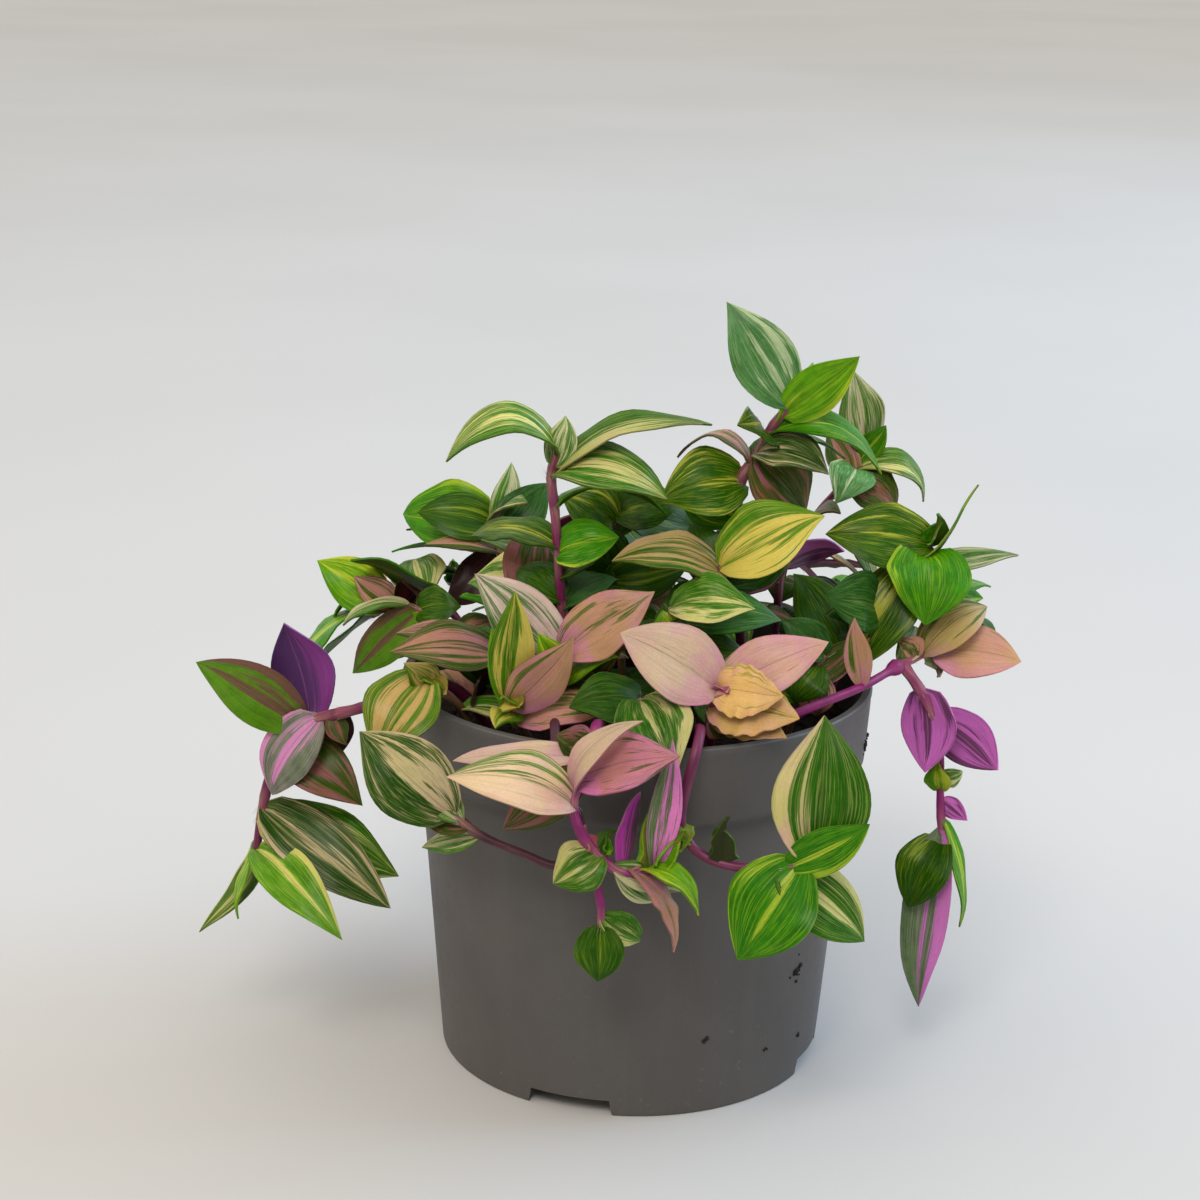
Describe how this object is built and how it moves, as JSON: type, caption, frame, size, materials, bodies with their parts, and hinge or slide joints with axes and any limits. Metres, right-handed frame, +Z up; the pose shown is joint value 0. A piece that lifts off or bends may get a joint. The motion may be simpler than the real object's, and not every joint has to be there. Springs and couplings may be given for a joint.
{
  "type": "potted tradescantia",
  "caption": "Trailing houseplant with striped pointed leaves in a round tapered nursery pot, some stems upright and some hanging over the rim.",
  "frame": {"origin": "middle of the pot's foot, on the surface that the pot stands on", "axes": "+X to the right and +Y to the back, seen from the front, where most stems hang over the rim; +Z up along the pot's axis"},
  "size_m": [0.2087, 0.1907, 0.1971],
  "materials": {
    "pot": "matte",
    "soil": "matte",
    "plant": "satin"
  },
  "bodies": {
    "root": {"pot": "pot", "soil": "soil", "stem_tall_right": "plant", "stem_front_middle": "plant", "stem_front_trailing": "plant", "stem_front_right": "plant", "stem_front_left_low": "plant", "stem_rim_left": "plant", "stem_front_pale": "plant", "stem_front_upright": "plant", "stem_middle_yellow": "plant", "stem_middle_striped": "plant", "stem_front_dark": "plant", "stem_left_trailing": "plant", "stem_right_long": "plant", "stem_right": "plant", "stem_left_rim": "plant", "stem_tall_middle": "plant", "stem_back_left_striped": "plant", "stem_back_left": "plant", "stem_left_high": "plant", "stem_back_right": "plant", "stem_right_low": "plant", "stem_middle_dark": "plant", "stem_lean_right": "plant", "stem_lean_back_right": "plant", "stem_over_back_right": "plant", "stem_lean_back": "plant", "stem_over_back_left": "plant", "stem_lean_back_left": "plant", "stem_lean_left": "plant"}
  },
  "joints": []
}
